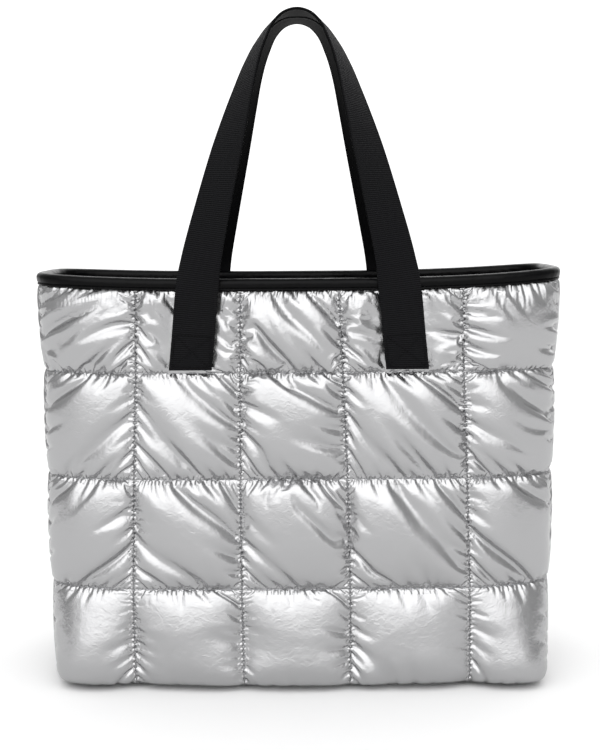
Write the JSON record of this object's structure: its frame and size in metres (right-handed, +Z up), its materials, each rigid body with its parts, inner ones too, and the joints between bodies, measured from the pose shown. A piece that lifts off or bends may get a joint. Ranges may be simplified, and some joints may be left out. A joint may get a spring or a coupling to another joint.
{
  "type": "puffer tote bag",
  "caption": "Quilted padded tote bag with a flat base, bound open rim, thin lining and two woven carrying straps that turn to lie flat at the top.",
  "frame": {"origin": "middle of the base's underside, on the surface that the bag stands on", "axes": "+Z up, the front faces -Y, +X is on the right as seen from the front"},
  "size_m": [0.486, 0.1674, 0.6183],
  "materials": {
    "quilted_shell": "glossy silver-coated nylon, quilted over padding",
    "lining": "plain black woven lining",
    "binding": "black smooth folded trim",
    "webbing": "black ribbed webbing"
  },
  "bodies": {
    "root": {"front_panel": "quilted_shell", "back_panel": "quilted_shell", "left_gusset": "quilted_shell", "right_gusset": "quilted_shell", "base_panel": "quilted_shell", "lining": "lining", "rim_binding": "binding", "front_handle": "webbing", "back_handle": "webbing"}
  },
  "joints": []
}
